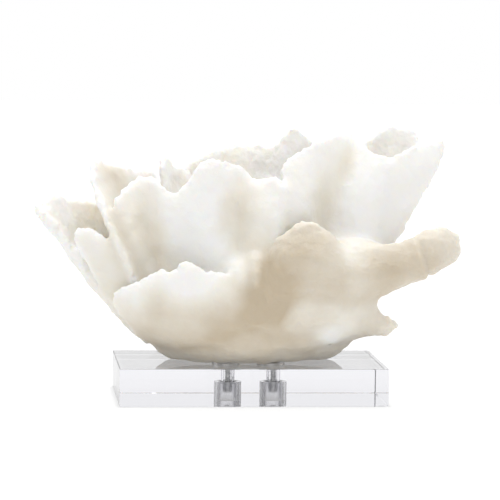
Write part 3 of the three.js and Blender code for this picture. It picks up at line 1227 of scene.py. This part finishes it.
def steel(name, colour, grime, roughness, stretch):
    """Bright steel in two tones, with marks from a noise that is finer along one axis."""
    made, tree, shader, place = new_material(name)
    stretched = add(tree, "ShaderNodeMapping", inputs={"Vector": place, "Scale": stretch})
    marks = noise(tree, stretched.outputs["Vector"], 1.0, MARK_DETAIL)
    blotches = noise(tree, place, BLOTCH_SCALE, BLOTCH_DETAIL)
    tone = ramp(tree, blotches, [(GRIME_UNTIL, grime), (CLEAN_FROM, colour)])
    tree.links.new(tone, shader.inputs["Base Color"])
    shader.inputs["Metallic"].default_value = 1.0
    polish = scale_and_shift(tree, marks, MARK_SPREAD, roughness)
    tree.links.new(polish, shader.inputs["Roughness"])
    add_bump(tree, shader, marks, MARK_BUMP, MARK_DEPTH)
    return made


screw_steel = steel(
    "screw_steel",
    colour=(0.78, 0.78, 0.77),
    grime=(0.40, 0.40, 0.41),
    roughness=0.16,
    stretch=(300, 300, 3000),
)
washer_steel = steel(
    "washer_steel",
    colour=(0.72, 0.72, 0.73),
    grime=(0.55, 0.55, 0.56),
    roughness=0.2,
    stretch=(4000, 200, 200),
)
for pieces, material in ((screws, screw_steel), (washers, washer_steel)):
    for piece in pieces:
        piece.data.materials.clear()
        piece.data.materials.append(material)
    print(material.name, "on", [piece.name for piece in pieces])

# %% [markdown]
# ## Camera
#
# The object is seen from a little left of the front and a little above, through a long lens, as
# a product picture is. The eye stands well back, so the block's sides stay nearly parallel.

# %% Place the camera
EYE = Vector((-0.178, -1.665, 0.263))
AIM = Vector((-0.0048, -0.045, 0.1035))
ROLL = math.radians(0.9)
LENS = 180.7
FARTHEST = 50

bpy.ops.object.camera_add(location=EYE)
camera = bpy.context.object
camera.data.lens = LENS
camera.data.clip_end = FARTHEST
camera.rotation_mode = "QUATERNION"
camera.rotation_quaternion = (AIM - EYE).to_track_quat("-Z", "Y") @ Quaternion((0, 0, 1), ROLL)
bpy.context.scene.camera = camera
print("distance to the object:", round((AIM - EYE).length, 3))

# %% [markdown]
# ## Floor and light
#
# Clear and pale things are shown on white, lit from above and behind: light comes through the
# rims, and the front stays dim enough to read. A plain white floor would turn grey where the
# coral shades it. So the floor is paper on a light table, which glows by itself and reflects
# little. The glow is weaker under the block, a painted shadow whose grey sets the block off.

# %% White floor
FLOOR_SIZE = 10
FLOOR_DROP = 0.2 * MM
PAPER = (0.16, 0.16, 0.16)
PAPER_GLOW = 0.85
# Weaker glow under the block: a painted shadow.
GLOW_IN_PAINTED_SHADOW = 0.42
DIM_UNTIL = 0.94
BRIGHT_FROM = 1.04
PAPER_ROUGHNESS = 0.9

bpy.ops.object.select_all(action="DESELECT")
bpy.ops.mesh.primitive_plane_add(size=FLOOR_SIZE, location=(0, 0, -FLOOR_DROP))
floor = bpy.context.object
floor.name = "floor"
paper, tree, shader, place = new_material("white_paper")
across = add(tree, "ShaderNodeSeparateXYZ", inputs={"Vector": place})
reach_x = math_node(tree, "DIVIDE", across.outputs["X"], block_high.x)
reach_y = math_node(tree, "DIVIDE", across.outputs["Y"], block_high.y)
reach_x = math_node(tree, "ABSOLUTE", reach_x, 0)
reach_y = math_node(tree, "ABSOLUTE", reach_y, 0)
reach = math_node(tree, "MAXIMUM", reach_x, reach_y)
dim_to_bright = {"Value": reach, "From Min": DIM_UNTIL, "From Max": BRIGHT_FROM}
dim_to_bright.update({"To Min": GLOW_IN_PAINTED_SHADOW, "To Max": PAPER_GLOW})
glow = add(tree, "ShaderNodeMapRange", inputs=dim_to_bright)
tree.links.new(glow.outputs["Result"], shader.inputs["Emission Strength"])
shader.inputs["Emission Color"].default_value = (1, 1, 1, 1)
shader.inputs["Base Color"].default_value = (*PAPER, 1)
shader.inputs["Roughness"].default_value = PAPER_ROUGHNESS
floor.data.materials.append(paper)
floor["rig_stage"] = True
print("floor glow:", GLOW_IN_PAINTED_SHADOW, "under the block,", PAPER_GLOW, "around it")

# %% [markdown]
# A lamp alone would leave a clear block invisible, because such a block only shows what stands
# around it. So most of the light is the room itself: bright above and low behind with a dimmer
# band between, and dim in front. A dark flag at each side draws the block's upright edges. Each
# stop in the two lists is a height, from the horizon to straight up, and a tone. The camera
# itself sees plain white.

# %% Room light
BACK = 1.05
GAP_TONE = 0.75
TOP = 1.36
FRONT = 0.74
FLAG_TONE = 0.3
FLAG_FROM = 0.8
FLAG_FULL = 0.95
TURNOVER = 0.6
BACK_STOPS = [(0, BACK), (0.38, BACK), (0.5, GAP_TONE), (0.62, GAP_TONE), (0.75, TOP), (1, TOP)]
FRONT_STOPS = [(0, FRONT), (0.55, FRONT), (0.8, TOP), (1, TOP)]


def grey_ramp(tree, factor, stops):
    """A ramp of greys, from (position, tone) stops."""
    return ramp(tree, factor, [(position, (tone,) * 3) for position, tone in stops])


world = bpy.data.worlds.new("studio")
bpy.context.scene.world = world
world.use_nodes = True
tree = world.node_tree
way = add(tree, "ShaderNodeTexCoord").outputs["Generated"]
split = add(tree, "ShaderNodeSeparateXYZ", inputs={"Vector": way})
back_light = grey_ramp(tree, split.outputs["Z"], BACK_STOPS)
front_light = grey_ramp(tree, split.outputs["Z"], FRONT_STOPS)
depth_inputs = {"Value": split.outputs["Y"], "From Min": -TURNOVER, "From Max": TURNOVER}
depthwise = add(tree, "ShaderNodeMapRange", inputs=depth_inputs).outputs["Result"]
room = mix(tree, depthwise, front_light, back_light)
sideways = math_node(tree, "ABSOLUTE", split.outputs["X"], 0)
flag_inputs = {"Value": sideways, "From Min": FLAG_FROM, "From Max": FLAG_FULL}
flag_inputs.update({"To Min": 1.0, "To Max": FLAG_TONE})
flag = add(tree, "ShaderNodeMapRange", inputs=flag_inputs).outputs["Result"]
flagged_inputs = {"Vector": room, "Scale": flag}
flagged = add(tree, "ShaderNodeVectorMath", {"operation": "SCALE"}, flagged_inputs)
seen = add(tree, "ShaderNodeLightPath").outputs["Is Camera Ray"]
shown = mix(tree, seen, flagged.outputs["Vector"], (1, 1, 1, 1))
tree.links.new(shown, tree.nodes["Background"].inputs["Color"])
print("room nodes:", len(tree.nodes))

# %% [markdown]
# The room's light comes from everywhere and gives no direction. One large soft box, high and a
# little behind, adds it: it puts the light tops and the dim undersides on the fronds. A small
# lamp would do that too, but with hard shadows. The Standard view keeps white paper white.

# %% Soft box
BOX_PLACE = (-0.15, 0.35, 1.3)
BOX_AIM = Vector((0, 0, 0.1))
BOX_SIZE = 1.5
BOX_POWER = 8

bpy.ops.object.light_add(type="AREA", location=BOX_PLACE)
soft_box = bpy.context.object
soft_box.data.size = BOX_SIZE
soft_box.data.energy = BOX_POWER
beam = BOX_AIM - soft_box.location
soft_box.rotation_euler = beam.to_track_quat("-Z", "Y").to_euler()
bpy.context.scene.view_settings.view_transform = "Standard"
print("soft box at", [round(v, 2) for v in BOX_PLACE])

# %% [markdown]
# ## Sizes
#
# The dressed model stands in for the construction in the same space, so both boxes are printed
# side by side.

# %% Sizes and finish
size = {"cad": [list(v) for v in cad_box], "visual": [list(v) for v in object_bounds()]}
print(size)
